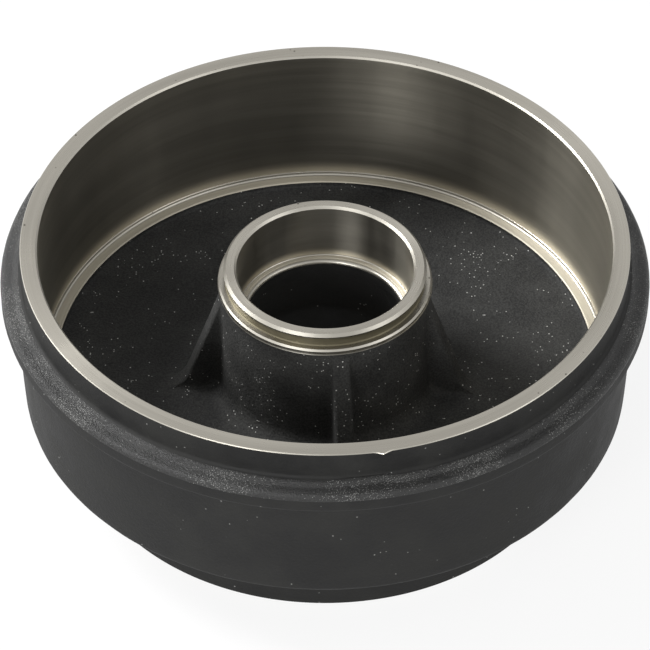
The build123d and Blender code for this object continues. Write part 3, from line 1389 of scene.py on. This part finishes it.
@dataclass(frozen=True)
class CastFinish:
    """Grey iron as it leaves the sand, under a thin coat of satin black.

    Attributes:
        name: Name of the material.
        dark: Colour in the hollows of the skin.
        light: Colour where the coat is thin.
        grain: Size of the sand grain, in metres.
        patch: Size of the patches of tone, in metres.
        relief: Depth of the grain, in metres.
        roughness: Least and greatest roughness.
        specular: Strength of its highlights.
        glint: How strongly the painted glints show, light grey spots that stand in for sparkle
            highlights.
        crowd: Share of the places for a painted glint that hold one where they are gathered.
        mottle: How far the grain shows in the colour, from 0 to 1.
    """

    name: str
    dark: tuple[float, float, float]
    light: tuple[float, float, float]
    grain: float
    patch: float
    relief: float
    roughness: tuple[float, float]
    specular: float
    glint: float
    crowd: float
    mottle: float

    def make(self, groups: dict[str, bpy.types.NodeTree]) -> bpy.types.Material:
        """Make the material.

        Args:
            groups: The shared node groups, by name.

        Returns:
            The material.
        """
        material = bpy.data.materials.new(self.name)
        material.use_nodes = True
        sketch = NodeSketch(material.node_tree)
        place = sketch.add("TexCoord").outputs["Object"]
        skin = sketch.group(
            groups["sand_skin"],
            {"Place": place, "Grain": self.grain, "Patch": self.patch, "Crowd": self.crowd},
        )
        even = sketch.math("MULTIPLY", skin.outputs["Tone"], 1.0 - self.mottle)
        tone = sketch.math("MULTIPLY_ADD", skin.outputs["Speckle"], self.mottle, even)
        coat = sketch.blend(tone, self.dark, self.light)
        # Painted glints: light grey spots blended into the colour stand in for the sparkle
        # highlights of the sand skin.
        painted_glint = sketch.math("MULTIPLY", skin.outputs["Glint"], self.glint)
        colour = sketch.blend(painted_glint, coat, PAINTED_GLINT_GREY)
        bump = sketch.add(
            "Bump", {"Strength": 1.0, "Distance": self.relief, "Height": skin.outputs["Height"]}
        )
        surface = sketch.add(
            "BsdfPrincipled",
            {
                "Base Color": colour,
                "Roughness": sketch.span(skin.outputs["Tone"], *self.roughness),
                "Specular IOR Level": self.specular,
                "Normal": bump.outputs["Normal"],
            },
        )
        sketch.add("OutputMaterial", {"Surface": surface.outputs[0]})
        return material


@dataclass(frozen=True)
class TurnedFinish:
    """Grey iron as the lathe leaves it.

    Attributes:
        name: Name of the material.
        dark: Colour in the darker rings.
        light: Colour in the brighter rings.
        pitch: Distance between turning marks, in metres.
        relief: Depth of the marks, in metres.
        roughness: Least and greatest roughness.
        anisotropy: How far highlights are drawn out across the marks.
        pitting: How plainly small pores show, from 0 to 1.
        painted_glow_level: Height below which the painted glow is full: warm bright iron for
            reflected light, in metres.
        painted_glow_reach: How far above that height the painted glow reaches, in metres.
        glow_band_roughening: How much rougher the surface is under the painted glow.
    """

    name: str
    dark: tuple[float, float, float]
    light: tuple[float, float, float]
    pitch: float
    relief: float
    roughness: tuple[float, float]
    anisotropy: float
    pitting: float = 0.0
    painted_glow_level: float = -1.0
    painted_glow_reach: float = 0.01
    glow_band_roughening: float = 1.4

    def make(self, groups: dict[str, bpy.types.NodeTree]) -> bpy.types.Material:
        """Make the material.

        Args:
            groups: The shared node groups, by name.

        Returns:
            The material.
        """
        material = bpy.data.materials.new(self.name)
        material.use_nodes = True
        sketch = NodeSketch(material.node_tree)
        place = sketch.add("TexCoord").outputs["Object"]
        marks = sketch.group(groups["turning_marks"], {"Place": place, "Pitch": self.pitch})
        names = ("Rings", "Bands", "Sweep", "Pits")
        rings, bands, sweep, pits = (marks.outputs[name] for name in names)
        tone = sketch.mean(rings, bands)
        polish = sketch.mean(sweep, rings)
        bump = sketch.add("Bump", {"Strength": 1.0, "Distance": self.relief, "Height": rings})
        tangent = sketch.add("Tangent", direction_type="RADIAL", axis="Z")
        height = sketch.add("SeparateXYZ", {0: place}).outputs["Z"]
        # Painted glow: at the foot of the bore the colour is blended towards warm bright iron
        # that stands in for reflected light, and the roughness is raised there.
        painted_glow_mask = sketch.mask(height, self.painted_glow_level + self.painted_glow_reach, self.painted_glow_level)
        turned = sketch.blend(tone, self.dark, self.light)
        painted_glow_colour = sketch.blend(painted_glow_mask, turned, PAINTED_GLOW_IRON)
        rough = sketch.span(polish, *self.roughness)
        dragged = sketch.math("MULTIPLY", rough, sketch.span(painted_glow_mask, 1.0, self.glow_band_roughening))
        pores = sketch.math("MULTIPLY", pits, self.pitting)
        surface = sketch.add(
            "BsdfPrincipled",
            {
                "Base Color": sketch.blend(pores, painted_glow_colour, PORE),
                "Metallic": 1.0,
                "Roughness": dragged,
                "Anisotropic": self.anisotropy,
                "Anisotropic Rotation": QUARTER_TURN,
                "Tangent": tangent.outputs[0],
                "Normal": bump.outputs["Normal"],
            },
        )
        sketch.add("OutputMaterial", {"Surface": surface.outputs[0]})
        return material


FINISHES = {
    Finish.OUTER_CAST: CastFinish(
        name="black_cast_iron",
        dark=(0.008, 0.008, 0.008),
        light=(0.017, 0.017, 0.016),
        grain=0.0012,
        patch=0.030,
        relief=0.00010,
        roughness=(0.56, 0.72),
        specular=0.20,
        glint=0.35,
        crowd=0.012,
        mottle=0.15,
    ),
    Finish.INNER_CAST: CastFinish(
        name="hollow_black_cast_iron",
        dark=(0.018, 0.018, 0.018),
        light=(0.052, 0.052, 0.050),
        grain=0.0010,
        patch=0.024,
        relief=0.00024,
        roughness=(0.62, 0.78),
        specular=0.14,
        glint=1.0,
        crowd=0.055,
        mottle=0.55,
    ),
    Finish.TRACK: TurnedFinish(
        name="turned_brake_track",
        dark=(0.142, 0.133, 0.110),
        light=(0.204, 0.191, 0.159),
        pitch=0.0009,
        relief=0.000022,
        roughness=(0.33, 0.43),
        anisotropy=0.85,
        # Painted glow at the foot of the brake track.
        painted_glow_level=0.0480,
        painted_glow_reach=0.011,
    ),
    Finish.TURNED: TurnedFinish(
        name="bright_turned_iron",
        dark=(0.30, 0.283, 0.247),
        light=(0.41, 0.389, 0.342),
        pitch=0.0004,
        relief=0.000010,
        roughness=(0.22, 0.32),
        anisotropy=0.75,
        pitting=1.0,
    ),
    Finish.SEAT: TurnedFinish(
        name="fine_bored_iron",
        dark=(0.155, 0.146, 0.124),
        light=(0.225, 0.213, 0.182),
        pitch=0.00022,
        relief=0.000008,
        roughness=(0.28, 0.38),
        anisotropy=0.85,
        # Painted glow at the foot of the bearing seat.
        painted_glow_level=0.0807,
        painted_glow_reach=0.006,
    ),
    # The relief groove is coloured darker and warmer than the other turned faces: painted shade
    # in the recess.
    Finish.RELIEF: TurnedFinish(
        name="relief_groove_painted_shade",
        dark=(0.10, 0.090, 0.062),
        light=(0.20, 0.180, 0.124),
        pitch=0.0005,
        relief=0.000015,
        roughness=(0.50, 0.64),
        anisotropy=0.5,
    ),
    Finish.BAND_CAST: CastFinish(
        name="rough_black_cast_iron",
        dark=(0.007, 0.007, 0.007),
        light=(0.022, 0.022, 0.021),
        grain=0.0005,
        patch=0.034,
        relief=0.00030,
        roughness=(0.34, 0.50),
        specular=0.36,
        glint=0.45,
        crowd=0.34,
        mottle=0.4,
    ),
    Finish.FACED: TurnedFinish(
        name="open_faced_iron",
        dark=(0.36, 0.335, 0.278),
        light=(0.57, 0.535, 0.45),
        pitch=0.0007,
        relief=0.00003,
        roughness=(0.60, 0.72),
        anisotropy=0.4,
    ),
    Finish.EDGE: TurnedFinish(
        name="bright_cut_edge",
        dark=(0.30, 0.285, 0.25),
        light=(0.46, 0.44, 0.39),
        pitch=0.0006,
        relief=0.00001,
        roughness=(0.32, 0.42),
        anisotropy=0.3,
    ),
}


# ---------------------------------------------------------------- studio


@dataclass(frozen=True)
class Lamp:
    """A square soft light that faces the drum.

    Attributes:
        name: Name of the light.
        place: Where it hangs, in metres.
        width: Its side, in metres.
        power: Its power, in watts.
    """

    name: str
    place: tuple[float, float, float]
    width: float
    power: float

    def hang(self, target: Vector) -> None:
        """Add the light to the scene.

        Args:
            target: The point that it faces.
        """
        data = bpy.data.lights.new(self.name, "AREA")
        data.shape = "SQUARE"
        data.size = self.width
        data.energy = self.power
        lamp = bpy.data.objects.new(self.name, data)
        lamp.location = self.place
        lamp.rotation_euler = (target - lamp.location).to_track_quat("-Z", "Y").to_euler()
        bpy.context.scene.collection.objects.link(lamp)


@dataclass(frozen=True)
class Viewpoint:
    """The camera's place and lens."""

    place: tuple[float, float, float] = (0.0, -1.6828, 1.6429)
    tilt: float = 46.98
    lens: float = 240.29
    sensor: float = 36.0

    def set_up(self) -> None:
        """Add the camera and make it the scene's own."""
        data = bpy.data.cameras.new("camera")
        data.lens = self.lens
        data.sensor_width = self.sensor
        camera = bpy.data.objects.new("camera", data)
        camera.location = self.place
        camera.rotation_euler = (math.radians(self.tilt), 0.0, 0.0)
        bpy.context.scene.collection.objects.link(camera)
        bpy.context.scene.camera = camera


@dataclass
class Studio:
    """Floor, soft lights, pale surroundings and camera."""

    floor_side: float = 6.0
    floor_colour: tuple[float, float, float] = (0.80, 0.80, 0.80)
    glow: float = 0.86
    sky: float = 0.55
    target: tuple[float, float, float] = (0.0, 0.0, 0.08)
    viewpoint: Viewpoint = field(default_factory=Viewpoint)
    lamps: tuple[Lamp, ...] = (
        Lamp("key", (-1.54, 0.66, 1.49), width=0.9, power=68.0),
        Lamp("fill", (-0.97, -1.83, 0.95), width=0.8, power=34.0),
        Lamp("counter", (1.75, -0.95, 1.30), width=1.2, power=9.0),
    )

    def build(self) -> None:
        """Set the stage round the drum."""
        bpy.context.scene.view_settings.view_transform = "Standard"
        self._floor()
        self._surroundings()
        for lamp in self.lamps:
            lamp.hang(Vector(self.target))
        self.viewpoint.set_up()

    @staticmethod
    def _seen(sketch: NodeSketch) -> bpy.types.NodeSocket:
        """Tell the rays that show the background itself: camera, glossy and transmission.

        Args:
            sketch: The nodes of a material or a world.

        Returns:
            A socket that is 1 for such a ray and 0 for any other.
        """
        path = sketch.add("LightPath").outputs
        shiny = sketch.math("MAXIMUM", path["Is Glossy Ray"], path["Is Transmission Ray"])
        return sketch.math("MAXIMUM", path["Is Camera Ray"], shiny)

    def _floor(self) -> bpy.types.Object:
        """Build the pale floor, which keeps the drum's shadow.

        Returns:
            The floor.
        """
        bm = bmesh.new()
        bmesh.ops.create_grid(bm, x_segments=2, y_segments=2, size=self.floor_side / 2)
        bmesh.ops.translate(bm, verts=bm.verts, vec=(0.0, 0.0, CAD_BOX[0].z))
        floor = new_object("floor", bm)
        material = bpy.data.materials.new("pale_floor")
        material.use_nodes = True
        sketch = NodeSketch(material.node_tree)
        matt = sketch.add("BsdfDiffuse", {"Color": (*self.floor_colour, 1.0)})
        white = sketch.add("Emission", {"Color": WHITE, "Strength": 1.0})
        share = sketch.math("MULTIPLY", self._seen(sketch), self.glow)
        mixed = sketch.add("MixShader", {0: share, 1: matt.outputs[0], 2: white.outputs[0]})
        sketch.add("OutputMaterial", {"Surface": mixed.outputs[0]})
        floor.data.materials.append(material)
        return floor

    def _surroundings(self) -> None:
        """Make the world white where it shows and plainly bright where it lights."""
        world = bpy.data.worlds.new("surroundings")
        world.use_nodes = True
        bpy.context.scene.world = world
        sketch = NodeSketch(world.node_tree)
        seen = self._seen(sketch)
        strength = sketch.span(seen, self.sky, 1.0)
        glow = sketch.add("Background", {"Color": WHITE, "Strength": strength})
        sketch.add("OutputWorld", {"Surface": glow.outputs[0]})


# ---------------------------------------------------------------- assembly


def make_materials() -> list[bpy.types.Material]:
    """Return the material of every finish, in the order of the finishes."""
    groups = {"sand_skin": SandSkin().make(), "turning_marks": TurningMarks().make()}
    return [FINISHES[finish].make(groups) for finish in Finish]


def main() -> None:
    """Build the casting in its finishes and set the studio."""
    logging.basicConfig(level=logging.INFO, format="%(name)s: %(message)s")
    casting = Casting().build(make_materials())
    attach(casting, "root")
    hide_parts(NODE)
    Studio().build()


if __name__ == "__main__":
    main()
